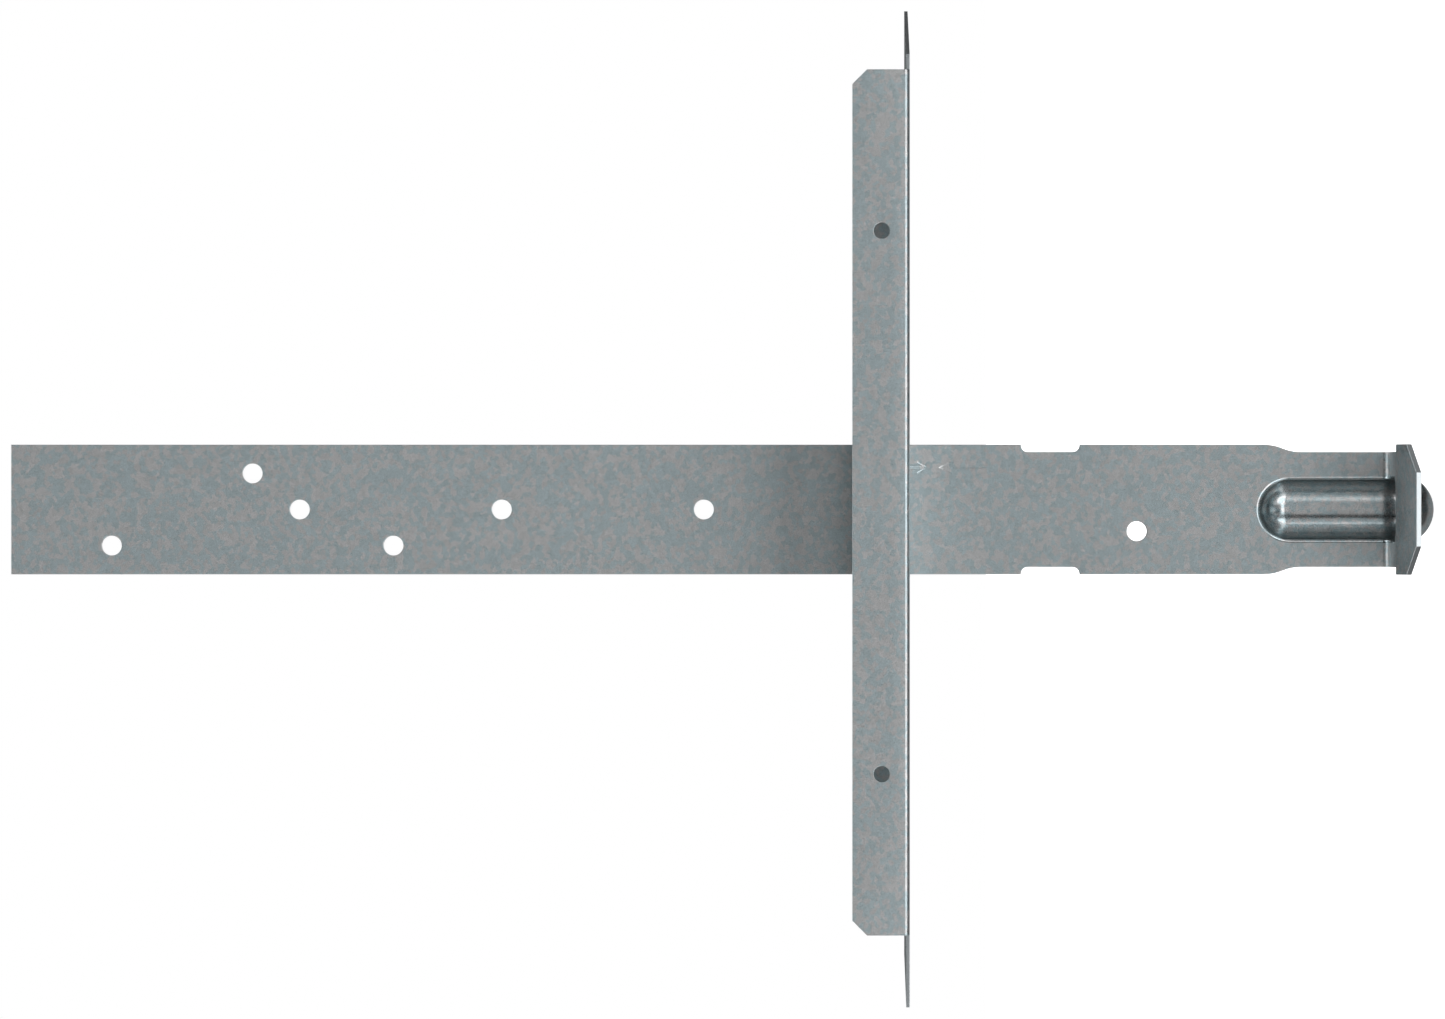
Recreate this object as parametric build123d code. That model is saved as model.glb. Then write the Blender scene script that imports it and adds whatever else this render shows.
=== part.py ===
"""Embedded truss anchor: a formed strap that is cast into the top of a wall, and the
truss seat that is threaded on it.  Millimetres.  +Z runs up the strap, the strap's
front face is the plane Y = 0 and looks along -Y, and the origin lies on that face, on
the strap's centre line, at the embedment line."""

import math
import os

from build123d import *

# --- anchor strap ------------------------------------------------------------------
STRAP_LENGTH = 304.8          # top end to the underside of the foot
EMBEDMENT = 101.6             # embedment line to the underside of the foot
STRAP_WIDTH = 28.5
STRAP_SHEET = 1.21            # sheet thickness
NAIL_HOLE_R = 2.18

CENTRE_HOLES = 3              # nail holes on the strap's centre line
CENTRE_HOLE_PITCH = 44.45
CENTRE_HOLE_FIRST = 63.5      # below the top end
EDGE_HOLES = 3                # nail holes that alternate from side to side
EDGE_HOLE_PITCH = 30.98
EDGE_HOLE_FIRST = 22.15       # below the top end
EDGE_HOLE_OFFSET = 7.94       # from the centre line
FORM_HOLE_DROP = 44.45        # nail hole in the embedded stretch, below the line
FORM_HOLE_OFFSET = 4.77

NOTCH_TOP = 18.95             # edge notches, below the embedment line
NOTCH_LENGTH = 12.9
NOTCH_DEPTH = 1.6
NOTCH_CORNER_R = 1.5

NECK_WIDTH = 25.3
NECK_START_RISE = 29.1        # where the sides leave the full width, above the underside
NECK_BLEND = 8.1              # length of the S curve into the neck

MARK_X = 9.26                 # stamped arrows that point at the embedment line
MARK_GAP = 0.9                # arrow tip to the line
MARK_LENGTH = 10.5
MARK_BARB_LENGTH = 2.8        # along the shaft
MARK_BARB_SPREAD = 1.35       # out from the shaft, to each side
MARK_STROKE = 0.36
MARK_DEPTH = 0.12

# --- foot --------------------------------------------------------------------------
BEND_R = 1.9                  # inside of the bend between strap and foot
FOOT_REACH = 39.1             # strap's front face to the tip of the lip
LIP_LENGTH = 12.7
LIP_ANGLE = 17.7              # how far the lip leans down from the foot
LIP_BEND_R = 1.2              # inside of the lip's bend
SHOULDER_BEFORE_LIP = 1.6     # full width starts this far before the lip
LIP_CHAMFER = 6.2

# --- dart: the pressed rib round the bend ---------------------------------------------
DART_R = 6.54                 # inside of the round trough
DART_RIM_R = 0.82             # rounding from the flat into the trough
DART_TOP_RISE = 30.86         # upper end of the trough's rim, above the underside
DART_LIP_GAP = 1.65           # rim to the lip's bend, on the foot

# --- truss seat --------------------------------------------------------------------
SEAT_SHEET = 0.76
SEAT_BEND_R = 0.4             # inside of the flange bends
TRUSS_WIDTH = 38.1
TRUSS_CLEARANCE = 0.6         # truss to the near flange
BACK_GAP = 1.39               # strap's back face to the far flange
SEAT_RISE = 5.95              # underside above the embedment line
SEAT_CENTRE = 0.65            # middle of the web, along X
WEB_LENGTH = 207.5            # along either side
WEB_SKEW = 14.6               # slant of the web's ends
FLANGE_SETBACK = 4.24         # end of the flange to the nearer end corner of the web
NEAR_FLANGE_SHIFT = 0.89      # middle of the flange from the middle of the web
FAR_FLANGE_SHIFT = -0.05
NEAR_FLANGE_HEIGHT = 12.5     # outside, from the underside
FAR_FLANGE_HEIGHT = 12.1
FLANGE_CHAMFER = 3.2
SEAT_HOLE_R = 1.75
SEAT_HOLE_RISE = 6.1          # hole centres above the underside
NEAR_HOLE_SPACING = 118.24
FAR_HOLE_SPACING = 80.0
SLOT_CLEARANCE = 0.15         # on every side of the strap

CUT_MARGIN = 1.0              # how far a cutter runs past what it cuts

# --- worked out --------------------------------------------------------------------
UNDERSIDE = -EMBEDMENT
TOP = STRAP_LENGTH - EMBEDMENT
FOOT_FACE = UNDERSIDE + STRAP_SHEET          # inner face of the foot
BEND_Z = FOOT_FACE + BEND_R                  # height of the bend's axis
LIP_RUN = LIP_LENGTH * math.cos(math.radians(LIP_ANGLE))
LIP_DROP = LIP_LENGTH * math.sin(math.radians(LIP_ANGLE))
LIP_START = -(FOOT_REACH - LIP_RUN)          # Y of the lip's bend, on the inner face
SHOULDER_Y = LIP_START + SHOULDER_BEFORE_LIP
DART_RIM = DART_R + DART_RIM_R               # half the width of the rim
DART_OUTER_R = DART_R + STRAP_SHEET
DART_STRAP_END = UNDERSIDE + DART_TOP_RISE - DART_RIM     # Z of the upper round end
DART_FOOT_END = LIP_START + DART_LIP_GAP + DART_RIM       # Y of the lower round end
NEAR_INNER = -(TRUSS_WIDTH + TRUSS_CLEARANCE)
FAR_INNER = STRAP_SHEET + BACK_GAP
WEB_NEAR = NEAR_INNER + SEAT_BEND_R          # Y where the flat web meets the bends
WEB_FAR = FAR_INNER - SEAT_BEND_R
WEB_SHIFT = (WEB_FAR - WEB_NEAR) / 2 * math.tan(math.radians(WEB_SKEW))
FLANGE_LENGTH = WEB_LENGTH - 2 * WEB_SHIFT - 2 * FLANGE_SETBACK
SEAT_FLOOR = SEAT_RISE + SEAT_SHEET
NEAR_CENTRE = SEAT_CENTRE + NEAR_FLANGE_SHIFT
FAR_CENTRE = SEAT_CENTRE + FAR_FLANGE_SHIFT


def block(x0, x1, y0, y1, z0, z1):
    """A box between two corners."""
    box = Box(x1 - x0, y1 - y0, z1 - z0)
    return Pos((x0 + x1) / 2, (y0 + y1) / 2, (z0 + z1) / 2) * box


def hole_along_y(x, z, radius, y0, y1):
    """A round punch through a sheet that faces Y."""
    punch = Cylinder(radius, y1 - y0)
    return Pos(x, (y0 + y1) / 2, z) * Rot(90, 0, 0) * punch


def bent_side_profile():
    """Side view of the strap, its bend, the foot and the lip, as one bent sheet."""
    lip_y, lip_z = LIP_START - LIP_RUN, FOOT_FACE - LIP_DROP
    path = FilletPolyline(
        (0, 0, TOP), (0, 0, FOOT_FACE), (0, LIP_START, FOOT_FACE), (0, lip_y, lip_z),
        radius=[BEND_R, LIP_BEND_R + STRAP_SHEET],
    )
    outer = FilletPolyline(
        (0, STRAP_SHEET, TOP), (0, STRAP_SHEET, UNDERSIDE),
        (0, LIP_START + STRAP_SHEET * math.tan(math.radians(LIP_ANGLE / 2)), UNDERSIDE),
        (0, lip_y + STRAP_SHEET * math.sin(math.radians(LIP_ANGLE)),
         lip_z - STRAP_SHEET * math.cos(math.radians(LIP_ANGLE))),
        radius=[BEND_R + STRAP_SHEET, LIP_BEND_R],
    )
    edges = [*path.edges(), *outer.edges()]
    edges += [Line(path @ 0, outer @ 0), Line(path @ 1, outer @ 1)]
    return make_face(edges)


def neck_cutters():
    """What is trimmed off both sides of the neck, from the strap's sides to the foot."""
    full, neck = STRAP_WIDTH / 2, NECK_WIDTH / 2
    outside = full + CUT_MARGIN
    top = UNDERSIDE + NECK_START_RISE
    middle = ((full + neck) / 2, 0, top - NECK_BLEND / 2)
    end = (neck, 0, top - NECK_BLEND)
    below = UNDERSIDE - LIP_DROP - STRAP_SHEET
    upper_arc = TangentArc((full, 0, top), middle, tangent=(0, 0, -1))
    lower_arc = TangentArc(end, middle, tangent=(0, 0, 1))
    side = [
        upper_arc, lower_arc,
        Line(end, (neck, 0, below)),
        Line((neck, 0, below), (outside, 0, below)),
        Line((outside, 0, below), (outside, 0, top)),
        Line((outside, 0, top), (full, 0, top)),
    ]
    behind = STRAP_SHEET + CUT_MARGIN
    face = Pos(0, behind, 0) * make_face(side)
    cutter = extrude(face, amount=behind - SHOULDER_Y, dir=(0, -1, 0))
    return [cutter, mirror(cutter, Plane.YZ)]


def notch_cutters():
    """The round-cornered notch in each edge, just under the embedment line."""
    width = NOTCH_DEPTH + CUT_MARGIN
    notch = Box(width, STRAP_SHEET + 2 * CUT_MARGIN, NOTCH_LENGTH)
    inner = notch.edges().filter_by(Axis.Y).sort_by(Axis.X)[:2]
    notch = fillet(inner, NOTCH_CORNER_R)
    x = STRAP_WIDTH / 2 - NOTCH_DEPTH + width / 2
    placed = Pos(x, STRAP_SHEET / 2, -NOTCH_TOP - NOTCH_LENGTH / 2) * notch
    return [placed, mirror(placed, Plane.YZ)]


def nail_positions():
    """(x, z) of every nail hole in the strap."""
    centre = [(0, TOP - CENTRE_HOLE_FIRST - n * CENTRE_HOLE_PITCH) for n in range(CENTRE_HOLES)]
    edge = [
        ((-1) ** (n + 1) * EDGE_HOLE_OFFSET, TOP - EDGE_HOLE_FIRST - n * EDGE_HOLE_PITCH)
        for n in range(EDGE_HOLES)
    ]
    return centre + edge + [(-FORM_HOLE_OFFSET, -FORM_HOLE_DROP)]


def stamped_arrows():
    """Two shallow arrows on the front face, with open barbs, that meet at the
    embedment line."""
    slope = math.atan2(MARK_BARB_SPREAD, MARK_BARB_LENGTH)
    half = MARK_STROKE / 2
    inner_x = MARK_BARB_SPREAD - MARK_STROKE * math.cos(slope)
    inner_z = MARK_BARB_LENGTH + MARK_STROKE * math.sin(slope)
    crotch = inner_z - (inner_x - half) / math.tan(slope)
    side = [
        (MARK_BARB_SPREAD, MARK_BARB_LENGTH), (inner_x, inner_z), (half, crotch),
        (half, MARK_LENGTH),
    ]
    outline = [(0, 0)] + side + [(-x, z) for x, z in reversed(side)]
    corners = [(MARK_X + x, 0, MARK_GAP + z) for x, z in outline]
    upper = extrude(make_face(Polyline(*corners, close=True)), amount=MARK_DEPTH, dir=(0, 1, 0))
    return [upper, mirror(upper, Plane.XY)]


def lip_chamfers():
    """The corners cut off the tip of the lip, square through its sheet."""
    lean = math.radians(LIP_ANGLE)
    tip = (0, LIP_START - LIP_RUN, FOOT_FACE - LIP_DROP)
    lip_plane = Plane(origin=tip, x_dir=(1, 0, 0), z_dir=(0, -math.sin(lean), math.cos(lean)))
    half = STRAP_WIDTH / 2
    corner = Polyline(
        (half - LIP_CHAMFER, 0), (half, LIP_CHAMFER), (half + CUT_MARGIN, LIP_CHAMFER),
        (half + CUT_MARGIN, -CUT_MARGIN), (half - LIP_CHAMFER, -CUT_MARGIN), close=True,
    )
    cutter = extrude(lip_plane * make_face(corner), amount=2 * STRAP_SHEET, both=True)
    return [cutter, mirror(cutter, Plane.YZ)]


def dart_section(radius, rim, start):
    """Half of the dart's cross-section in (across, depth).  Depth counts from the sheet's
    inner face and begins at start; rim is the rounding at the sheet, or 0 for none."""
    top = radius + rim
    bottom = DART_RIM_R + radius
    edges = [Line((0, start), (top, start))]
    if rim:
        corner = rim * (1 - math.sqrt(0.5))
        edges.append(Line((top, start), (top, 0)))
        edges.append(ThreePointArc((top, 0), (radius + corner, corner), (radius, rim)))
    else:
        edges.append(Line((top, start), (radius, DART_RIM_R)))
    belly = math.sqrt(0.5) * radius
    edges.append(ThreePointArc((radius, DART_RIM_R), (belly, DART_RIM_R + belly), (0, bottom)))
    edges.append(Line((0, bottom), (0, start)))
    return make_face(edges)


def dart_solid(radius, rim, start):
    """The dart's section run down the strap, round the bend and along the foot, with a
    round end at both ends."""
    half = dart_section(radius, rim, start)
    whole = half + mirror(half, Plane.YZ)
    # the section's depth runs along +Y on the strap and along -Z on the foot
    at_strap = Plane(origin=(0, 0, DART_STRAP_END), x_dir=(1, 0, 0), z_dir=(0, 0, 1))
    at_bend = Plane(origin=(0, 0, BEND_Z), x_dir=(1, 0, 0), z_dir=(0, 0, 1))
    at_foot = Plane(origin=(0, DART_FOOT_END, FOOT_FACE), x_dir=(1, 0, 0), z_dir=(0, 1, 0))
    down = extrude(at_strap * whole, amount=DART_STRAP_END - BEND_Z, dir=(0, 0, -1))
    round_bend = revolve(at_bend * whole, Axis((0, -BEND_R, BEND_Z), (-1, 0, 0)), 90)
    along = extrude(at_foot * whole, amount=-BEND_R - DART_FOOT_END, dir=(0, 1, 0))
    upper = revolve(at_strap * half, Axis((0, 0, DART_STRAP_END), (0, 1, 0)), 360)
    lower = revolve(at_foot * half, Axis((0, DART_FOOT_END, FOOT_FACE), (0, 0, 1)), 360)
    return [down, round_bend, along, upper, lower]


def anchor_strap():
    """The strap, its foot and its dart, from one strip of sheet."""
    strap = extrude(bent_side_profile(), amount=STRAP_WIDTH / 2, dir=(1, 0, 0), both=True)
    strap -= neck_cutters()
    strap -= notch_cutters()
    strap -= lip_chamfers()
    through = 2 * STRAP_SHEET
    strap -= [hole_along_y(x, z, NAIL_HOLE_R, -through, through) for x, z in nail_positions()]
    strap -= stamped_arrows()
    strap += dart_solid(DART_OUTER_R, 0, STRAP_SHEET / 2)
    strap -= dart_solid(DART_R, DART_RIM_R, -STRAP_SHEET / 2)
    return strap


def web_outline():
    """Plan of the seat's flat web, a parallelogram between the two bends."""
    half = WEB_LENGTH / 2
    near, far = SEAT_CENTRE - WEB_SHIFT, SEAT_CENTRE + WEB_SHIFT
    return [
        (near - half, WEB_NEAR, SEAT_RISE), (near + half, WEB_NEAR, SEAT_RISE),
        (far + half, WEB_FAR, SEAT_RISE), (far - half, WEB_FAR, SEAT_RISE),
    ]


def flange(inner, outward, centre, height, hole_spacing):
    """One bent-up flange with a narrow strip of web beside its bend.  inner is the Y of its inner
    face, and outward is the way it faces, -1 or +1."""
    outer = inner + outward * SEAT_SHEET
    root = inner - outward * 2 * SEAT_BEND_R
    top = SEAT_RISE + height
    inside = FilletPolyline(
        (0, root, SEAT_FLOOR), (0, inner, SEAT_FLOOR), (0, inner, top), radius=SEAT_BEND_R)
    outside = FilletPolyline(
        (0, root, SEAT_RISE), (0, outer, SEAT_RISE), (0, outer, top),
        radius=SEAT_BEND_R + SEAT_SHEET)
    ends = [Line(inside @ 0, outside @ 0), Line(inside @ 1, outside @ 1)]
    profile = make_face([*inside.edges(), *outside.edges(), *ends])
    solid = Pos(centre, 0, 0) * extrude(
        profile, amount=FLANGE_LENGTH / 2, dir=(1, 0, 0), both=True)
    free_corners = solid.edges().filter_by(Axis.Y).group_by(Axis.Z)[-1]
    solid = chamfer(free_corners, FLANGE_CHAMFER)
    for side in (-1, 1):
        x = centre + side * hole_spacing / 2
        z = SEAT_RISE + SEAT_HOLE_RISE
        solid -= hole_along_y(x, z, SEAT_HOLE_R, inner - SEAT_SHEET * 2, inner + SEAT_SHEET * 2)
    return solid


def truss_seat():
    """The channel that the truss sits in, with the slot that the strap runs through."""
    web = extrude(make_face(Polyline(*web_outline(), close=True)), amount=SEAT_SHEET, dir=(0, 0, 1))
    near = flange(NEAR_INNER, -1, NEAR_CENTRE, NEAR_FLANGE_HEIGHT, NEAR_HOLE_SPACING)
    far = flange(FAR_INNER, 1, FAR_CENTRE, FAR_FLANGE_HEIGHT, FAR_HOLE_SPACING)
    half_slot = STRAP_WIDTH / 2 + SLOT_CLEARANCE
    slot = block(
        -half_slot, half_slot, -SLOT_CLEARANCE, STRAP_SHEET + SLOT_CLEARANCE,
        SEAT_RISE - SEAT_SHEET, SEAT_FLOOR + SEAT_SHEET)
    return web + near + far - slot


os.makedirs("parts", exist_ok=True)
export_step(anchor_strap(), "parts/anchor_strap.step")
export_step(truss_seat(), "parts/truss_seat.step")
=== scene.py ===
import math
import bmesh
import bpy
from mathutils import Matrix, Vector
from mathutils.geometry import delaunay_2d_cdt


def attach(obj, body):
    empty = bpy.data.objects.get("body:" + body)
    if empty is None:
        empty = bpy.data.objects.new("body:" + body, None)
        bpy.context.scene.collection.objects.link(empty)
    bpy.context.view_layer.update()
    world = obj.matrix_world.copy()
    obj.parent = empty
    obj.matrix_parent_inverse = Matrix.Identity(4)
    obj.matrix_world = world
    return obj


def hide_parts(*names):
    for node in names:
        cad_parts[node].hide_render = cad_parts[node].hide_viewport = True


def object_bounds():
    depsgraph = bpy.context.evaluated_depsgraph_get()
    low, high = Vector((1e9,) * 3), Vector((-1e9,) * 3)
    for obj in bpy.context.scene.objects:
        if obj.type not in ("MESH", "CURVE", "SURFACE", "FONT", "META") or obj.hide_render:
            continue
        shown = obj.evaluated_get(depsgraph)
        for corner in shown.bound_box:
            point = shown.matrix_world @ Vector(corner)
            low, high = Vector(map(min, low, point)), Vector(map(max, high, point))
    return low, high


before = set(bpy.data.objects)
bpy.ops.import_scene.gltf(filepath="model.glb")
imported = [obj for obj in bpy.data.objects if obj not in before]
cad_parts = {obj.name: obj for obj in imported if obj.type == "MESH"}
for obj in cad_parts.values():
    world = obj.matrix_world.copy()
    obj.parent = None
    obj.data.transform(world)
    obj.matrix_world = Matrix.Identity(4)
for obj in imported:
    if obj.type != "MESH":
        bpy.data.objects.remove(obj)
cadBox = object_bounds()
mm = 0.001  # every size below is in millimetres, and meshes are scaled once, when they are made
tolerance = 1e-5  # lengths closer than this are the same
fillPrecision = 1e-7
weldReach = 1e-4
print("frame loaded:", sorted(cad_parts))


# sheet metal: a flat blank in (across, along) that is laid on a bent path

def bendPath(start, along, into, steps):
    # the path runs down the sheet's front face in the YZ plane, "into" points through the sheet
    # steps are ("run", length) or ("bend", front radius, degrees, side), side 1 with its centre in front
    spans, s = [], 0.0
    at, along, into = Vector(start), Vector(along), Vector(into)
    for kind, size, *bend in steps:
        span = {"from": s, "at": at, "along": along, "into": into, "radius": 0.0, "side": 1}
        if kind == "run":
            span["length"] = size
            at = at + along * size
        else:
            angle, side = math.radians(bend[0]), bend[1]
            out = into * side
            span.update(radius=size, side=side, length=size * angle)
            at = at - out * size + (out * math.cos(angle) + along * math.sin(angle)) * size
            newOut = out * math.cos(angle) + along * math.sin(angle)
            along = along * math.cos(angle) - out * math.sin(angle)
            into = newOut * side
        spans.append(span)
        s += span["length"]
    return spans


def layOn(path, u, s, depth):
    # the point of the bent sheet that is u across, s along and depth behind the front face
    slack = 1e-6  # a row that starts a bend belongs to the bend
    span = next((x for x in reversed(path) if s >= x["from"] - slack), path[0])
    ds = s - span["from"]
    if not span["radius"]:
        p = span["at"] + span["along"] * ds + span["into"] * depth
        return Vector((u, p.x, p.y))
    out = span["into"] * span["side"]
    turned = out * math.cos(ds / span["radius"]) + span["along"] * math.sin(ds / span["radius"])
    p = span["at"] - out * span["radius"] + turned * (span["radius"] + span["side"] * depth)
    return Vector((u, p.x, p.y))


def bendStations(path, stepDegrees):
    # places along the sheet where a bend needs a row of vertices
    rows = []
    for span in path:
        if span["radius"]:
            count = max(2, math.ceil(math.degrees(span["length"] / span["radius"]) / stepDegrees))
            rows += [span["from"] + span["length"] * k / count for k in range(count + 1)]
    return rows


def loopArea(loop):
    return sum(a[0] * b[1] - b[0] * a[1] for a, b in zip(loop, loop[1:] + loop[:1])) / 2


def turnedTo(loop, sign):
    # material lies on the left: outlines run one way round, and holes the other
    return loop if loopArea(loop) * sign > 0 else loop[::-1]


def cutAt(loop, rows):
    # adds a point wherever a loop crosses a row
    cut = []
    for a, b in zip(loop, loop[1:] + loop[:1]):
        cut.append(a)
        low, high = min(a[1], b[1]) + tolerance, max(a[1], b[1]) - tolerance
        between = [r for r in rows if low < r < high]
        for r in sorted(between, reverse=b[1] < a[1]):
            t = (r - a[1]) / (b[1] - a[1])
            cut.append((a[0] + (b[0] - a[0]) * t, r))
    return cut


def turnAt(loop, n):
    a, b, c = (Vector(p) for p in (loop[n - 1], loop[n], loop[(n + 1) % len(loop)]))
    return math.degrees((b - a).angle(c - b))


def insetLoop(loop, distance):
    # moves a loop into the material
    moved, sharpest = [], 0.2  # the second one limits how far a very sharp corner moves
    for before, here, after in zip(loop[-1:] + loop[:-1], loop, loop[1:] + loop[:1]):
        first = Vector((here[0] - before[0], here[1] - before[1])).normalized()
        second = Vector((after[0] - here[0], after[1] - here[1])).normalized()
        n1, n2 = Vector((-first.y, first.x)), Vector((-second.y, second.x))
        step = (n1 + n2) * (distance / max(sharpest, 1 + n1.dot(n2)))
        moved.append((here[0] + step.x, here[1] + step.y))
    return moved


def roundLoop(centre, radius, count):
    turn = 2 * math.pi / count
    return [(centre[0] + radius * math.cos(k * turn), centre[1] + radius * math.sin(k * turn))
            for k in range(count)]


def filleted(corners, count=6):
    # corners are (across, along, radius)
    loop = []
    for before, here, after in zip(corners[-1:] + corners[:-1], corners, corners[1:] + corners[:1]):
        p, radius = Vector(here[:2]), here[2]
        if not radius:
            loop.append(tuple(p))
            continue
        a = (Vector(before[:2]) - p).normalized()
        b = (Vector(after[:2]) - p).normalized()
        half = a.angle(b) / 2
        centre = p + (a + b).normalized() * (radius / math.sin(half))
        reach = radius / math.tan(half)
        start, end = p + a * reach - centre, p + b * reach - centre
        sweep = start.angle_signed(end)
        for k in range(count + 1):
            turned = Matrix.Rotation(-sweep * k / count, 2) @ start
            loop.append(tuple(centre + turned))
    return loop


def insideLoops(point, loops):
    inside = False
    for loop in loops:
        for a, b in zip(loop, loop[1:] + loop[:1]):
            if (a[1] > point[1]) != (b[1] > point[1]):
                if point[0] < a[0] + (b[0] - a[0]) * (point[1] - a[1]) / (b[1] - a[1]):
                    inside = not inside
    return inside


def capTriangles(loops, rows):
    # fills the space between the loops, with an edge along every row
    points = [Vector(p) for loop in loops for p in loop]
    edges, first = [], 0
    for loop in loops:
        edges += [(first + k, first + (k + 1) % len(loop)) for k in range(len(loop))]
        first += len(loop)
    for row in rows:
        onRow = sorted((p.x, k) for k, p in enumerate(points) if abs(p.y - row) < tolerance)
        edges += [(onRow[k][1], onRow[k + 1][1]) for k in range(0, len(onRow) - 1, 2)]
    made = delaunay_2d_cdt(points, edges, [], 0, fillPrecision)
    back = [ids[0] if ids else None for ids in made[3]]
    triangles = []
    for face in made[2]:
        middle = sum((made[0][k] for k in face), Vector((0, 0))) / 3
        ids = [back[k] for k in face]
        if None not in ids and insideLoops(middle, loops):
            triangles.append(ids)
    return triangles


def cutEdgeRings(thickness, frontRound, backRound, hold, count=4):
    # (inset, depth) from the front face, over the sheared edge, to the back face
    quarter = [math.pi / 2 * k / count for k in range(count + 1)]
    rings = [(frontRound + hold, 0)]
    rings += [(frontRound * (1 - math.sin(a)), frontRound * (1 - math.cos(a))) for a in quarter]
    rings += [(0, frontRound + hold / 2), (0, thickness - backRound - hold / 2)]
    rings += [(backRound * (1 - math.cos(a)), thickness - backRound * (1 - math.sin(a))) for a in quarter]
    return rings + [(backRound + hold, thickness)]


forming = {
    "hold": 0.1,  # a flat margin beside every rounded edge, which keeps the flats' shading flat
    "crispTurn": 25,  # an outline that turns by more degrees than this at a point has a crisp corner there
    "bareRings": 3,  # rings either side of the middle of a cut edge that show bare steel
    # a stamped groove: how far its rim and its slope reach, and how deep the rim goes
    "grooveRim": 0.06, "grooveSlope": 0.16, "rimDepth": 0.27,
}
skinSlot, cutSlot, ribSlot = 0, 1, 2  # the order of a sheet's materials


def sheetMesh(name, path, thickness, edges, rows, ribs=(), stamps=(), stampDepth=0.0):
    # edges are dictionaries of loop, sign, front and back, where the last two are the edge's roundings
    # ribs are closed rings pressed through the sheet, and stamps are outlines pressed into its front
    bm, hold = bmesh.new(), forming["hold"]

    def addRing(points):
        return [bm.verts.new(layOn(path, *p)) for p in points]

    def addRings(loop, profile):
        flat = [insetLoop(loop, inset) for inset, depth in profile]
        rings = [addRing([(*p, depth) for p in points]) for points, (inset, depth) in zip(flat, profile)]
        return flat, rings

    def bridge(a, b, slot=skinSlot):
        for k in range(len(a)):
            m = (k + 1) % len(a)
            bm.faces.new((a[k], a[m], b[m], b[k])).material_index = slot

    frontLoops, backLoops, frontVerts, backVerts, crisp = [], [], [], [], []
    for edge in edges:
        loop = turnedTo(cutAt(edge["loop"], rows), edge["sign"])
        profile = cutEdgeRings(thickness, edge["front"], edge["back"], hold)
        flat, rings = addRings(loop, profile)
        sheared = len(profile) // 2 - 1  # the band between the two roundings
        corners = [n for n in range(len(loop)) if turnAt(loop, n) > forming["crispTurn"]]
        for k, (a, b) in enumerate(zip(rings, rings[1:])):
            bridge(a, b, cutSlot if abs(k - sheared) <= forming["bareRings"] else skinSlot)
            crisp += [(a[n], b[n]) for n in corners]
        frontLoops.append(flat[0])
        frontVerts += rings[0]
        backLoops.append(flat[-1])
        backVerts += rings[-1]
    for rib in ribs:
        faces = ((frontLoops, frontVerts, rib["front"]), (backLoops, backVerts, rib["back"]))
        for loops, verts, profile in faces:
            wide = [(profile[0][0] + hold, profile[0][1])] + profile
            rings = [addRing([(c[1] * r, c[0] + c[2] * r, d) for c in rib["round"]]) for r, d in wide]
            for k, (a, b) in enumerate(zip(rings, rings[1:])):
                bridge(a, b, ribSlot if k else skinSlot)
            loops.append([(c[1] * wide[0][0], c[0] + c[2] * wide[0][0]) for c in rib["round"]])
            verts += rings[0]
    for stamp in stamps:
        loop = turnedTo(stamp, -1)
        # a shallow groove whose slopes are still seen from straight ahead
        flat, rings = addRings(loop, [(forming["grooveRim"], 0), (0, stampDepth * forming["rimDepth"]),
                                      (-forming["grooveSlope"], stampDepth)])
        for a, b in zip(rings, rings[1:]):
            bridge(a, b)
        for ids in capTriangles([flat[-1]], []):
            bm.faces.new([rings[-1][k] for k in ids])
        for ring in (rings[0], rings[-1]):
            crisp += [(ring[k - 1], ring[k]) for k in range(len(ring))]
        frontLoops.append(flat[0])
        frontVerts += rings[0]
    for loops, verts in ((frontLoops, frontVerts), (backLoops, backVerts)):
        for ids in capTriangles(loops, rows):
            bm.faces.new([verts[k] for k in ids])
    for a, b in crisp:
        bm.edges.get((a, b)).smooth = False  # so that it doesn't bend the light on the flat round it
    bmesh.ops.remove_doubles(bm, verts=bm.verts, dist=weldReach)
    bmesh.ops.recalc_face_normals(bm, faces=bm.faces)
    openEdges = sum(1 for e in bm.edges if len(e.link_faces) != 2)
    bmesh.ops.scale(bm, vec=(mm, mm, mm), verts=bm.verts)
    for face in bm.faces:
        face.smooth = True
    mesh = bpy.data.meshes.new(name)
    bm.to_mesh(mesh)
    bm.free()
    piece = bpy.data.objects.new(name, mesh)
    bpy.context.collection.objects.link(piece)
    print(f"{name}: {len(mesh.polygons)} faces, {openEdges} open edges")
    return piece


# anchor strap

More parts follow.
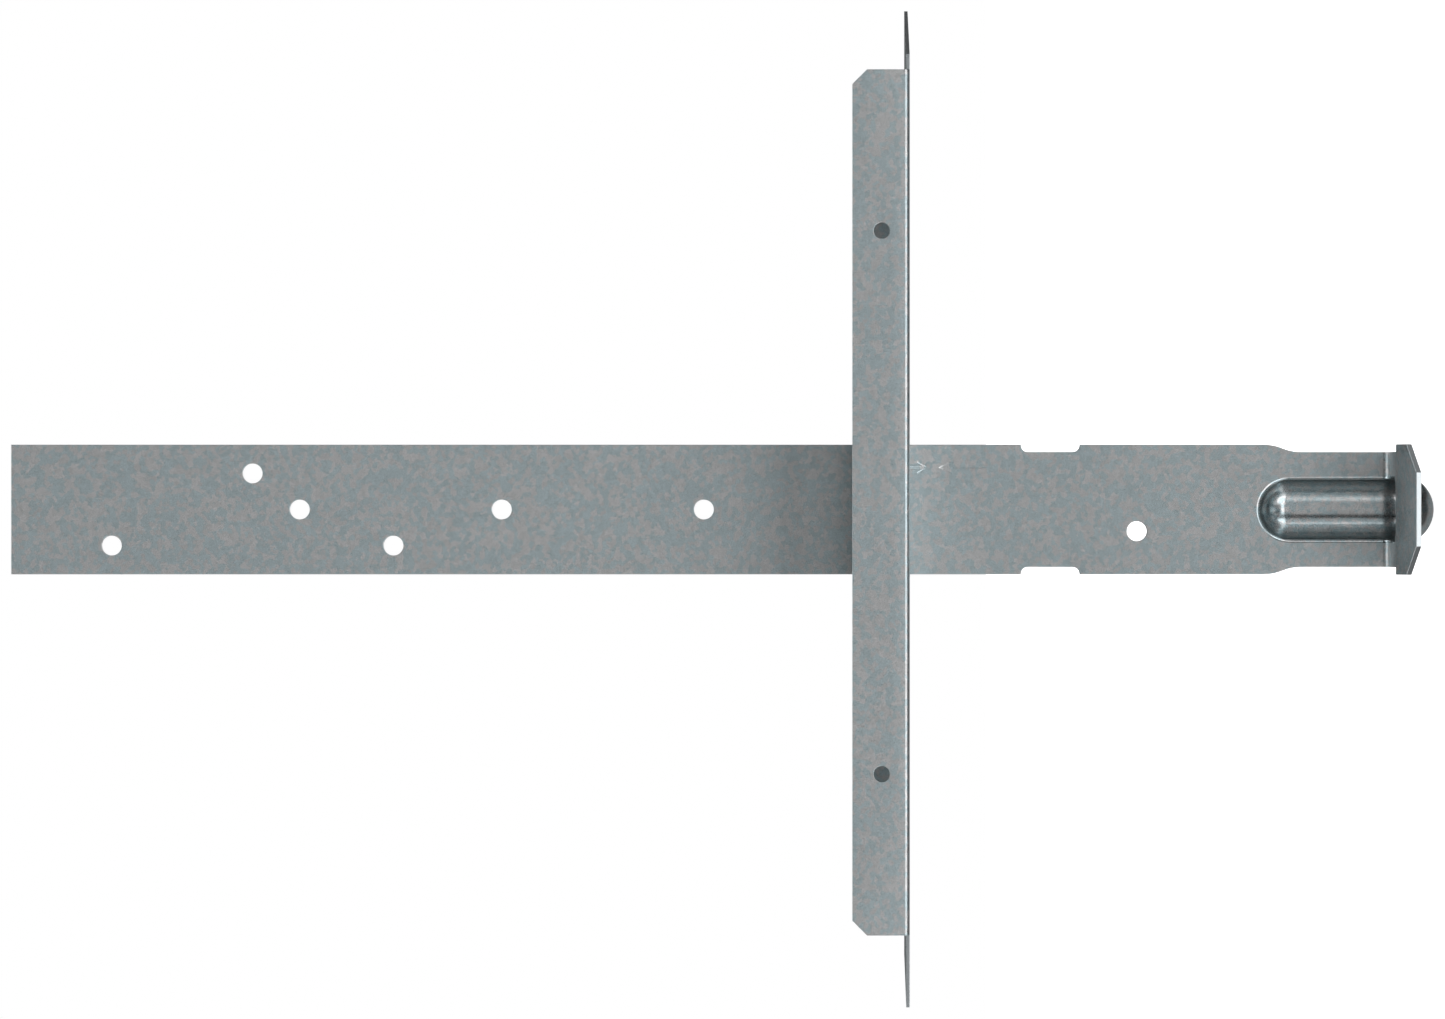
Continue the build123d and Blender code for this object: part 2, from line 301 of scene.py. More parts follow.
strap = {
    "width": 28.5, "thickness": 1.21, "top": 203.2, "underside": -101.6,
    "nailHoleRadius": 2.18, "holeSteps": 48,
    "bendStep": 5,  # degrees between the rows of a bend
    "nailHoles": [(0, 139.7), (0, 95.25), (0, 50.8), (-7.94, 181.05), (7.94, 150.07), (-7.94, 119.09),
                  (-4.77, -44.45)],
    "notchTop": -18.95, "notchLength": 12.9, "notchDepth": 1.6, "notchCorner": 1.5,
    "neckWidth": 25.3, "neckStart": -72.5, "neckBlend": 8.1, "neckSteps": 10,
    "bendRadius": 1.9, "footReach": 39.1, "lipLength": 12.7, "lipAngle": 17.7, "lipBendRadius": 1.2,
    "shoulder": 1.6, "lipChamfer": 6.2,
    "ribRadius": 6.54, "ribRim": 0.82, "ribBackCorner": 0.4, "ribTop": -70.74, "ribLipGap": 1.65,
    "ribEndSteps": 32, "ribSteps": 20, "rimEvery": 4, "ribFilletSteps": 5,
    "rollOver": 0.14, "breakOut": 0.07,  # rounding where the shear enters and leaves the sheet
    "markX": 9.26, "markGap": 0.9, "markLength": 10.5, "markBarb": 2.8, "markSpread": 1.35,
    "markStroke": 0.36, "markDepth": 0.12,
}


def strapPath(k):
    footFace = k["underside"] + k["thickness"]
    lean = math.radians(k["lipAngle"])
    lipFront = k["lipBendRadius"] + k["thickness"]
    lipStart = k["footReach"] - k["lipLength"] * math.cos(lean)
    tangent = lipFront * math.tan(lean / 2)
    return bendPath((0, k["top"]), (0, -1), (1, 0), [
        ("run", k["top"] - footFace - k["bendRadius"]),
        ("bend", k["bendRadius"], 90, 1),
        ("run", lipStart - k["bendRadius"] - tangent),
        ("bend", lipFront, k["lipAngle"], -1),
        ("run", k["lipLength"] - tangent),
    ])


def strapOutline(k, path):
    half, neck = k["width"] / 2, k["neckWidth"] / 2
    notch, deep, corner = k["top"] - k["notchTop"], half - k["notchDepth"], k["notchCorner"]
    end = path[-1]["from"] + path[-1]["length"]
    shoulder = path[3]["from"] - k["shoulder"]
    notchEnd = notch + k["notchLength"]
    right = [(half, 0, 0), (half, notch, 0), (deep, notch, corner), (deep, notchEnd, corner),
             (half, notchEnd, 0)]
    # the S curve into the neck: two equal arcs
    blend, drop, count = k["neckBlend"], half - neck, k["neckSteps"]
    radius = (blend ** 2 + drop ** 2) / (4 * drop)
    neckTop = k["top"] - k["neckStart"]
    for n in range(count + 1):
        a = blend * n / count
        near = min(a, blend - a)
        bow = radius - math.sqrt(radius ** 2 - near ** 2)
        right.append((half - bow if a < blend / 2 else neck + bow, neckTop + a, 0))
    right += [(neck, shoulder, 0), (half, shoulder, 0), (half, end - k["lipChamfer"], 0),
              (half - k["lipChamfer"], end, 0)]
    return filleted(right + [(-u, s, r) for u, s, r in reversed(right)])


def ribRound(k, path, rows):
    # the rib's plan: a centre on its axis and the way out from it, all round
    top = k["top"] - k["ribTop"] + k["ribRadius"] + k["ribRim"]
    lipCorner = path[3]["from"] + path[3]["radius"] * math.tan(math.radians(k["lipAngle"] / 2))
    end = lipCorner - k["ribLipGap"] - k["ribRadius"] - k["ribRim"]
    steps, margin = k["ribEndSteps"], 0.01
    half = [math.pi * n / steps for n in range(steps + 1)]
    sides = [s for s in rows if top + margin < s < end - margin]
    plan = [(top, math.cos(a), -math.sin(a)) for a in half] + [(s, -1, 0) for s in sides]
    plan += [(end, -math.cos(a), math.sin(a)) for a in half]
    return plan + [(s, 1, 0) for s in reversed(sides)]


def ribSections(k):
    # (distance from the axis, depth) over the front of the rib, and over its back
    steps, filletSteps = k["ribSteps"], k["ribFilletSteps"]
    radius, rimRadius = k["ribRadius"], k["ribRim"]
    quarter = [math.pi / 2 * n / steps for n in range(steps + 1)]
    rim = [(radius + rimRadius * (1 - math.sin(a)), rimRadius * (1 - math.cos(a)))
           for a in quarter[::k["rimEvery"]]]
    front = rim[:-1] + [(radius * math.cos(a), rimRadius + radius * math.sin(a)) for a in quarter]
    outer = radius + k["thickness"]
    corner = k["ribBackCorner"]
    rise = k["thickness"] + corner - rimRadius
    reach = math.sqrt((outer + corner) ** 2 - rise ** 2)
    start = math.asin(rise / (outer + corner))
    fillet = [(reach - corner * math.sin(a), k["thickness"] + corner * (1 - math.cos(a)))
              for a in ((math.pi / 2 - start) * n / filletSteps for n in range(filletSteps + 1))]
    dome = [(outer * math.cos(a), rimRadius + outer * math.sin(a))
            for a in (start + (math.pi / 2 - start) * n / steps for n in range(1, steps + 1))]
    return front, fillet + dome


def arrowMark(k, way):
    # an arrow with open barbs whose tip points at the embedment line
    slope = math.atan2(k["markSpread"], k["markBarb"])
    half = k["markStroke"] / 2
    innerU = k["markSpread"] - k["markStroke"] * math.cos(slope)
    innerS = k["markBarb"] + k["markStroke"] * math.sin(slope)
    crotch = innerS - (innerU - half) / math.tan(slope)
    side = [(k["markSpread"], k["markBarb"]), (innerU, innerS), (half, crotch), (half, k["markLength"])]
    outline = [(0, 0)] + side + [(-u, s) for u, s in reversed(side)]
    return [(k["markX"] + u, k["top"] - way * (k["markGap"] + s)) for u, s in outline]


def makeStrap(k):
    path = strapPath(k)
    rows = bendStations(path, k["bendStep"])
    front, back = ribSections(k)
    edges = [{"loop": strapOutline(k, path), "sign": 1, "front": k["rollOver"], "back": k["breakOut"]}]
    for u, z in k["nailHoles"]:
        hole = roundLoop((u, k["top"] - z), k["nailHoleRadius"], k["holeSteps"])
        edges.append({"loop": hole, "sign": -1, "front": k["rollOver"], "back": k["breakOut"]})
    rib = {"round": ribRound(k, path, rows), "front": front, "back": back}
    return sheetMesh("anchorStrapSheet", path, k["thickness"], edges, rows, ribs=[rib],
                     stamps=[arrowMark(k, 1), arrowMark(k, -1)], stampDepth=k["markDepth"])


# truss seat

seat = {
    "thickness": 0.76, "bendRadius": 0.4, "underside": 5.95,
    "nearInner": -38.7, "farInner": 2.6,
    "centre": 0.65, "webLength": 207.5, "webSkew": 14.6,
    "flangeSetback": 4.24, "nearShift": 0.89, "farShift": -0.05,
    "nearHeight": 12.5, "farHeight": 12.1, "flangeChamfer": 3.2,
    "endRelief": 0.02,  # the flange's end is cut this far past the bend
    "holeRadius": 1.75, "holeRise": 6.1, "nearHoleSpacing": 118.24, "farHoleSpacing": 80.0,
    "holeSteps": 40, "bendStep": 9,
    "slotClearance": 0.15, "slotCorner": 0.12,
    "rollOver": 0.1, "breakOut": 0.05,
}


def seatPath(k):
    bent = k["thickness"] + k["bendRadius"]
    return bendPath((k["nearInner"], k["underside"] + k["nearHeight"]), (0, -1), (-1, 0), [
        ("run", k["nearHeight"] - bent),
        ("bend", k["bendRadius"], 90, 1),
        ("run", k["farInner"] - k["nearInner"] - 2 * k["bendRadius"]),
        ("bend", k["bendRadius"], 90, 1),
        ("run", k["farHeight"] - bent),
    ])


def seatOutline(k, path):
    slant = path[2]["length"] / 2 * math.tan(math.radians(k["webSkew"]))
    web, flange = k["webLength"] / 2, k["webLength"] / 2 - slant - k["flangeSetback"]
    near, far = k["centre"] + k["nearShift"], k["centre"] + k["farShift"]
    webNear, webFar = path[2]["from"] + k["endRelief"], path[3]["from"] - k["endRelief"]
    end, clip = path[4]["from"] + path[4]["length"], k["flangeChamfer"]
    return [
        (near - flange, clip), (near - flange + clip, 0), (near + flange - clip, 0), (near + flange, clip),
        (near + flange, webNear), (k["centre"] - slant + web, webNear), (k["centre"] + slant + web, webFar),
        (far + flange, webFar), (far + flange, end - clip), (far + flange - clip, end),
        (far - flange + clip, end), (far - flange, end - clip), (far - flange, webFar),
        (k["centre"] + slant - web, webFar), (k["centre"] - slant - web, webNear), (near - flange, webNear),
    ]


def makeSeat(k, strapSizes):
    path = seatPath(k)
    rows = bendStations(path, k["bendStep"])
    edges = [{"loop": seatOutline(k, path), "sign": 1, "front": k["breakOut"], "back": k["rollOver"]}]
    total = path[4]["from"] + path[4]["length"]
    flanges = ((k["nearShift"], k["nearHoleSpacing"], k["nearHeight"] - k["holeRise"]),
               (k["farShift"], k["farHoleSpacing"], total - (k["farHeight"] - k["holeRise"])))
    for shift, spacing, s in flanges:
        for side in (-1, 1):
            middle = (k["centre"] + shift + side * spacing / 2, s)
            hole = roundLoop(middle, k["holeRadius"], k["holeSteps"])
            edges.append({"loop": hole, "sign": -1, "front": k["breakOut"], "back": k["rollOver"]})
    half, gap, r = strapSizes["width"] / 2 + k["slotClearance"], k["slotClearance"], k["slotCorner"]
    front = path[2]["from"] - k["nearInner"] - k["bendRadius"] - gap
    back = front + strapSizes["thickness"] + 2 * gap
    slot = filleted([(-half, front, r), (half, front, r), (half, back, r), (-half, back, r)])
    edges.append({"loop": slot, "sign": -1, "front": k["breakOut"], "back": k["rollOver"]})
    return sheetMesh("trussSeatSheet", path, k["thickness"], edges, rows)


# small repeated details are made by geometry nodes

def nodeTree(name, inputs):
    tree = bpy.data.node_groups.new(name, "GeometryNodeTree")
    tree.interface.new_socket("Geometry", in_out="INPUT", socket_type="NodeSocketGeometry")
    for label, kind, value in inputs:
        socket = tree.interface.new_socket(label, in_out="INPUT", socket_type="NodeSocket" + kind)
        if value is not None:
            socket.default_value = value
    tree.interface.new_socket("Geometry", in_out="OUTPUT", socket_type="NodeSocketGeometry")
    return tree, tree.nodes.new("NodeGroupInput"), tree.nodes.new("NodeGroupOutput")


def addNode(tree, kind, settings=None, **inputs):
    node = tree.nodes.new(kind)
    for key, value in (settings or {}).items():
        setattr(node, key, value)
    for key, value in inputs.items():
        # in0, in1 and so on are inputs by place, and any other key is an input by name
        numbered = key.startswith("in") and key[2:].isdigit()
        socket = node.inputs[int(key[2:]) if numbered else key]
        if isinstance(value, bpy.types.NodeSocket):
            tree.links.new(value, socket)
        else:
            socket.default_value = value
    return node


def mathNode(tree, operation, **inputs):
    return addNode(tree, "ShaderNodeMath", {"operation": operation}, **inputs)


def applyTree(name, source, tree, values):
    # sets the modifier's inputs by identifier, then keeps only the plain mesh that the tree makes
    modifier = source.modifiers.new(name, "NODES")
    modifier.node_group = tree
    for item in tree.interface.items_tree:
        if item.in_out == "INPUT" and item.name in values:
            modifier[item.identifier] = values[item.name]
    evaluated = source.evaluated_get(bpy.context.evaluated_depsgraph_get())
    mesh = bpy.data.meshes.new_from_object(evaluated)
    source.modifiers.remove(modifier)
    mesh.name = name
    piece = bpy.data.objects.new(name, mesh)
    bpy.context.collection.objects.link(piece)
    for polygon in mesh.polygons:
        polygon.use_smooth = True
    print(f"{name}: {len(mesh.polygons)} faces")
    return piece


burrs = {"wireRadius": 0.09, "sink": 0.3, "unevenness": 0.25, "driftScale": 900.0, "ringSteps": 40,
         "wireSteps": 6, "seed": 11}


def burrTree():
    # a thin raised burr round every punched hole, on the side where the punch came out
    tree, given, result = nodeTree("punchedBurrs", [
        ("Hole Radius", "Float", 0.002), ("Wire Radius", "Float", 0.0001), ("Unevenness", "Float", 0.2),
        ("Drift Scale", "Float", 900.0), ("Ring Steps", "Int", 40), ("Wire Steps", "Int", 6),
        ("Seed", "Int", 1), ("Material", "Material", None)])
    reach = mathNode(tree, "ADD", in0=given.outputs["Hole Radius"], in1=given.outputs["Wire Radius"])
    ring = addNode(tree, "GeometryNodeCurvePrimitiveCircle", Resolution=given.outputs["Ring Steps"],
                   Radius=reach.outputs[0])
    wire = addNode(tree, "GeometryNodeCurvePrimitiveCircle", Resolution=given.outputs["Wire Steps"],
                   Radius=given.outputs["Wire Radius"])
    burr = addNode(tree, "GeometryNodeCurveToMesh", Curve=ring.outputs[0])
    tree.links.new(wire.outputs[0], burr.inputs["Profile Curve"])
    facing = addNode(tree, "GeometryNodeInputNamedAttribute", {"data_type": "FLOAT_VECTOR"}, Name="facing")
    turned = addNode(tree, "FunctionNodeAlignRotationToVector", {"axis": "Z"}, Vector=facing.outputs[0])
    placed = addNode(tree, "GeometryNodeInstanceOnPoints", Points=given.outputs["Geometry"],
                     Instance=burr.outputs[0], Rotation=turned.outputs[0])
    real = addNode(tree, "GeometryNodeRealizeInstances", Geometry=placed.outputs[0])
    uneven = addNode(tree, "FunctionNodeRandomValue", {"data_type": "FLOAT"}, Seed=given.outputs["Seed"])
    normal = addNode(tree, "GeometryNodeInputNormal")
    # the burr's height wanders slowly round its ring
    where = addNode(tree, "GeometryNodeInputPosition")
    drift = addNode(tree, "ShaderNodeTexNoise", {"noise_dimensions": "4D"}, Vector=where.outputs[0],
                    W=uneven.outputs[1], Scale=given.outputs["Drift Scale"])
    centred = mathNode(tree, "SUBTRACT", in0=drift.outputs[0], in1=0.5)
    amount = mathNode(tree, "MULTIPLY", in0=centred.outputs[0], in1=given.outputs["Unevenness"])
    size = mathNode(tree, "MULTIPLY", in0=amount.outputs[0], in1=given.outputs["Wire Radius"])
    move = addNode(tree, "ShaderNodeVectorMath", {"operation": "SCALE"}, in0=normal.outputs[0],
                   Scale=size.outputs[0])
    shifted = addNode(tree, "GeometryNodeSetPosition", Geometry=real.outputs[0], Offset=move.outputs[0])
    made = addNode(tree, "GeometryNodeSetMaterial", Geometry=shifted.outputs[0],
                   Material=given.outputs["Material"])
    tree.links.new(made.outputs[0], result.inputs[0])
    return tree


def makeBurrs(name, k, places, radius, tree, material):
    # places are (point, way out of the sheet)
    mesh = bpy.data.meshes.new(name + "Points")
    sunk = k["wireRadius"] * k["sink"]
    mesh.from_pydata([(Vector(p) - Vector(way) * sunk) * mm for p, way in places], [], [])
    mesh.attributes.new("facing", "FLOAT_VECTOR", "POINT").data.foreach_set(
        "vector", [c for p, way in places for c in way])
    points = bpy.data.objects.new(name + "Points", mesh)
    bpy.context.collection.objects.link(points)
    piece = applyTree(name, points, tree, {
        "Hole Radius": radius * mm, "Wire Radius": k["wireRadius"] * mm, "Unevenness": k["unevenness"],
        "Drift Scale": k["driftScale"], "Ring Steps": k["ringSteps"], "Wire Steps": k["wireSteps"],
        "Seed": k["seed"], "Material": material})
    bpy.data.objects.remove(points)
    return piece


pimples = {"perSquareMetre": 9000.0, "radius": 0.16, "smallest": 0.35, "flatness": 0.3,
           "leastArea": 2e-6,  # the smallest face that carries any, in square metres
           "seed": 5}


def pimpleTree():
    # specks of zinc that froze proud of the coating, scattered over the flats
    tree, given, result = nodeTree("zincPimples", [
        ("Density", "Float", 9000.0), ("Radius", "Float", 0.0001), ("Smallest", "Float", 0.35),
        ("Flatness", "Float", 0.3), ("Least Area", "Float", 2e-6),
        ("Box Low", "Vector", None), ("Box High", "Vector", None),
        ("Seed", "Int", 1), ("Material", "Material", None)])
    spots = addNode(tree, "GeometryNodeDistributePointsOnFaces", {"distribute_method": "RANDOM"},
                    Mesh=given.outputs["Geometry"], Seed=given.outputs["Seed"])
    tree.links.new(given.outputs["Density"], spots.inputs["Density"])
    # only broad faces, and none so near the part's overall size that a speck would pass it
    area = addNode(tree, "GeometryNodeInputMeshFaceArea")
    chosen = mathNode(tree, "GREATER_THAN", in0=area.outputs[0], in1=given.outputs["Least Area"])
    where = addNode(tree, "GeometryNodeInputPosition")
    for high, low in ((where.outputs[0], given.outputs["Box Low"]),
                      (given.outputs["Box High"], where.outputs[0])):
        room = addNode(tree, "ShaderNodeVectorMath", {"operation": "SUBTRACT"}, in0=high, in1=low)
        inside = addNode(tree, "ShaderNodeVectorMath", {"operation": "SUBTRACT"}, in0=room.outputs[0])
        tree.links.new(given.outputs["Radius"], inside.inputs[1])
        for part in addNode(tree, "ShaderNodeSeparateXYZ", Vector=inside.outputs[0]).outputs:
            clear = mathNode(tree, "GREATER_THAN", in0=part, in1=0.0)
            chosen = mathNode(tree, "MULTIPLY", in0=chosen.outputs[0], in1=clear.outputs[0])
    tree.links.new(chosen.outputs[0], spots.inputs["Selection"])
    ball = addNode(tree, "GeometryNodeMeshIcoSphere", Radius=given.outputs["Radius"], Subdivisions=2)
    spread = addNode(tree, "FunctionNodeRandomValue", {"data_type": "FLOAT"}, Seed=given.outputs["Seed"])
    tree.links.new(given.outputs["Smallest"], spread.inputs[2])
    spread.inputs[3].default_value = 1.0
    flat = addNode(tree, "ShaderNodeCombineXYZ", X=spread.outputs[1], Y=spread.outputs[1])
    low = mathNode(tree, "MULTIPLY", in0=spread.outputs[1], in1=given.outputs["Flatness"])
    tree.links.new(low.outputs[0], flat.inputs["Z"])
    placed = addNode(tree, "GeometryNodeInstanceOnPoints", Points=spots.outputs["Points"],
                     Instance=ball.outputs[0], Rotation=spots.outputs["Rotation"], Scale=flat.outputs[0])
    real = addNode(tree, "GeometryNodeRealizeInstances", Geometry=placed.outputs[0])
    made = addNode(tree, "GeometryNodeSetMaterial", Geometry=real.outputs[0],
                   Material=given.outputs["Material"])
    tree.links.new(made.outputs[0], result.inputs[0])
    return tree


# galvanised steel

zinc = {
    "blueGrey": (0.462, 0.536, 0.556), "warmGrey": (0.566, 0.566, 0.563),
    "patchSize": 1.05, "clusterSize": 3.0, "patchEdge": 0.026, "patchShare": 0.51,
    "wander": 1.1, "wanderScale": 1.6, "cellSoftness": 0.12, "fineScale": 1.6, "fineShare": 0.38,
    "clusterShare": 0.3, "grainTint": 0.07, "hazeScale": 2.6, "hazeRange": (0.3, 0.7),
    "roughness": 0.40,  # where the crystals can't be shown
    "smooth": 0.23, "dull": 0.58, "crystalSize": 0.09, "crystalRange": (0.4, 0.6),
    "waveSize": 1.0, "waveHeight": 0.010, "grainSize": 0.2, "grainHeight": 0.004,
    # the specks are painted glints: white spots in the base colour
    "speckGap": 3.6, "speckSize": 0.028, "speckCore": 0.6, "speckShare": 0.3, "speckLight": (0.9, 0.9, 0.9),
}
pressedZinc = {**zinc, "smooth": 0.10, "dull": 0.34}  # the press polishes the coating on the rib
shearedSteel = {"colour": (0.50, 0.53, 0.54), "roughness": 0.34, "drag": 0.12, "dragStretch": 0.12,
                "dragHeight": 0.002, "toneFrom": (0.3, 0.7), "toneTo": (0.82, 1.12)}


def newMaterial(name, roughness):
    material = bpy.data.materials.new(name)
    material.use_nodes = True
    tree = material.node_tree
    shader = tree.nodes["Principled BSDF"]
    shader.inputs["Metallic"].default_value = 1.0
    shader.inputs["Roughness"].default_value = roughness
    return material, tree, shader


def galvanised(name, k, shift):
    # soft-edged patches of two greys, a wavy skin and a fine grain; coordinates are in millimetres
    material, tree, shader = newMaterial(name, k["roughness"])
    where = addNode(tree, "ShaderNodeTexCoord")
    scaled = addNode(tree, "ShaderNodeMapping", Vector=where.outputs["Object"])
    scaled.inputs["Scale"].default_value = (1 / mm,) * 3
    scaled.inputs["Location"].default_value = shift
    at = scaled.outputs[0]
    wander = addNode(tree, "ShaderNodeTexNoise", Vector=at, Scale=k["wanderScale"], Detail=3.0)
    bent = addNode(tree, "ShaderNodeVectorMath", {"operation": "MULTIPLY_ADD"}, in0=wander.outputs["Color"],
                   in1=(k["wander"],) * 3, in2=at)
    cells = addNode(tree, "ShaderNodeTexVoronoi", {"feature": "SMOOTH_F1"}, Vector=bent.outputs[0],
                    Scale=1 / k["patchSize"], Smoothness=k["cellSoftness"])
    cluster = addNode(tree, "ShaderNodeTexNoise", Vector=at, Scale=1 / k["clusterSize"], Detail=2.0)
    fine = addNode(tree, "ShaderNodeTexNoise", Vector=bent.outputs[0],
                   Scale=k["fineScale"] / k["patchSize"], Detail=4.0, Roughness=0.62)
    split = addNode(tree, "ShaderNodeSeparateColor", Color=cells.outputs["Color"])
    near = addNode(tree, "ShaderNodeMix", {"data_type": "FLOAT"}, in0=k["fineShare"], in2=split.outputs[0],
                   in3=fine.outputs[0])
    blend = addNode(tree, "ShaderNodeMix", {"data_type": "FLOAT"}, in0=k["clusterShare"],
                    in2=near.outputs[0], in3=cluster.outputs[0])
    soft = {"interpolation_type": "SMOOTHSTEP"}
    edge = addNode(tree, "ShaderNodeMapRange", soft, in0=blend.outputs[0],
                   in1=k["patchShare"] - k["patchEdge"], in2=k["patchShare"] + k["patchEdge"])
    patches = addNode(tree, "ShaderNodeMix", {"data_type": "RGBA"}, in0=edge.outputs[0])
    patches.inputs[6].default_value = (*k["blueGrey"], 1)
    patches.inputs[7].default_value = (*k["warmGrey"], 1)
    # every patch and every grain is a little lighter or darker than the next
    tint = addNode(tree, "ShaderNodeMapRange", in0=split.outputs[1], in1=0.0, in2=1.0,
                   in3=1 - k["grainTint"], in4=1 + k["grainTint"])
    haze = addNode(tree, "ShaderNodeTexNoise", Vector=at, Scale=k["hazeScale"], Detail=3.0)
    hazeTint = addNode(tree, "ShaderNodeMapRange", in0=haze.outputs[0], in1=k["hazeRange"][0],
                       in2=k["hazeRange"][1], in3=1 - k["grainTint"], in4=1 + k["grainTint"])
    both = mathNode(tree, "MULTIPLY", in0=tint.outputs[0], in1=hazeTint.outputs[0])
    colour = addNode(tree, "ShaderNodeVectorMath", {"operation": "SCALE"}, in0=patches.outputs[2],
                     Scale=both.outputs[0])
    # sparse bright specks painted into the colour: painted glints
    dots = addNode(tree, "ShaderNodeTexVoronoi", Vector=at, Scale=1 / k["speckGap"])
    dotSplit = addNode(tree, "ShaderNodeSeparateColor", Color=dots.outputs["Color"])
    dot = addNode(tree, "ShaderNodeMapRange", soft, in0=dots.outputs["Distance"], in1=k["speckSize"],
                  in2=k["speckSize"] * k["speckCore"])
    lucky = mathNode(tree, "LESS_THAN", in0=dotSplit.outputs[0], in1=k["speckShare"])
    speck = mathNode(tree, "MULTIPLY", in0=dot.outputs[0], in1=lucky.outputs[0])
    withPaintedGlints = addNode(tree, "ShaderNodeMix", {"data_type": "RGBA"}, in0=speck.outputs[0],
                      in6=colour.outputs[0])
    withPaintedGlints.inputs[7].default_value = (*k["speckLight"], 1)
    tree.links.new(withPaintedGlints.outputs[2], shader.inputs["Base Color"])
    # fine zinc crystals, some bright and some dull
    crystals = addNode(tree, "ShaderNodeTexNoise", Vector=at, Scale=1 / k["crystalSize"], Detail=1.0)
    rough = addNode(tree, "ShaderNodeMapRange", in0=crystals.outputs[0], in1=k["crystalRange"][0],
                    in2=k["crystalRange"][1], in3=k["smooth"], in4=k["dull"])
    tree.links.new(rough.outputs[0], shader.inputs["Roughness"])
    wave = addNode(tree, "ShaderNodeTexNoise", Vector=at, Scale=1 / k["waveSize"], Detail=2.0)
    grain = addNode(tree, "ShaderNodeTexNoise", Vector=at, Scale=1 / k["grainSize"], Detail=3.0)
    broad = addNode(tree, "ShaderNodeBump", Height=wave.outputs[0], Strength=1.0,
                    Distance=k["waveHeight"] * mm)
    small = addNode(tree, "ShaderNodeBump", Height=grain.outputs[0], Strength=1.0,
                    Distance=k["grainHeight"] * mm, Normal=broad.outputs[0])
    tree.links.new(small.outputs[0], shader.inputs["Normal"])
    return material


def sheared(name, k):
    # bare steel of a cut edge, with drag lines across the thickness
    material, tree, shader = newMaterial(name, k["roughness"])
    where = addNode(tree, "ShaderNodeTexCoord")
    scaled = addNode(tree, "ShaderNodeMapping", Vector=where.outputs["Object"])
    scaled.inputs["Scale"].default_value = (1 / mm, k["dragStretch"] / mm, 1 / mm)
    lines = addNode(tree, "ShaderNodeTexNoise", Vector=scaled.outputs[0], Scale=1 / k["drag"], Detail=3.0)
    tone = addNode(tree, "ShaderNodeMapRange", in0=lines.outputs[0], in1=k["toneFrom"][0],
                   in2=k["toneFrom"][1], in3=k["toneTo"][0], in4=k["toneTo"][1])
    colour = addNode(tree, "ShaderNodeVectorMath", {"operation": "SCALE"}, in0=k["colour"],
                     Scale=tone.outputs[0])
    tree.links.new(colour.outputs[0], shader.inputs["Base Color"])
    bump = addNode(tree, "ShaderNodeBump", Height=lines.outputs[0], Strength=1.0,
                   Distance=k["dragHeight"] * mm)
    tree.links.new(bump.outputs[0], shader.inputs["Normal"])
    return material


# assembly

strapZinc = galvanised("strapZinc", zinc, (0, 0, 0))
seatZinc = galvanised("seatZinc", zinc, (37, 11, 5))
ribZinc = galvanised("pressedZinc", pressedZinc, (0, 0, 0))
cutEdge = sheared("cutEdge", shearedSteel)

strapPiece = makeStrap(strap)
seatPiece = makeSeat(seat, strap)
for piece, skin in ((strapPiece, strapZinc), (seatPiece, seatZinc)):
    piece.data.materials.append(skin)
    piece.data.materials.append(cutEdge)
strapPiece.data.materials.append(ribZinc)

burrMaker = burrTree()
strapBack = strap["thickness"]
strapHoles = [((u, strapBack, z), (0, 1, 0)) for u, z in strap["nailHoles"]]
strapBurrs = makeBurrs("strapHoleBurrs", burrs, strapHoles, strap["nailHoleRadius"], burrMaker, cutEdge)
holeZ = seat["underside"] + seat["holeRise"]
flanges = ((seat["nearShift"], seat["nearHoleSpacing"], seat["nearInner"], 1),
           (seat["farShift"], seat["farHoleSpacing"], seat["farInner"], -1))
seatHoles = [((seat["centre"] + shift + side * spacing / 2, y, holeZ), (0, way, 0))
             for shift, spacing, y, way in flanges for side in (-1, 1)]
seatBurrs = makeBurrs("seatHoleBurrs", burrs, seatHoles, seat["holeRadius"], burrMaker, cutEdge)

pimpleMaker = pimpleTree()
pimpleValues = {"Density": pimples["perSquareMetre"], "Radius": pimples["radius"] * mm,
                "Smallest": pimples["smallest"], "Flatness": pimples["flatness"],
                "Least Area": pimples["leastArea"], "Seed": pimples["seed"],
                "Box Low": cadBox[0][:], "Box High": cadBox[1][:]}
strapPimples = applyTree("strapZincPimples", strapPiece, pimpleMaker,
                         {**pimpleValues, "Material": strapZinc})
seatPimples = applyTree("seatZincPimples", seatPiece, pimpleMaker,
                        {**pimpleValues, "Material": seatZinc})

for pieces, body, slot in (((strapPiece, strapBurrs, strapPimples), "strap", "strap_steel"),
                           ((seatPiece, seatBurrs, seatPimples), "seat", "seat_steel")):
    for piece in pieces:
        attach(piece, body)
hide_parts("anchor_strap")
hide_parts("truss_seat")
print("pieces placed")


# studio

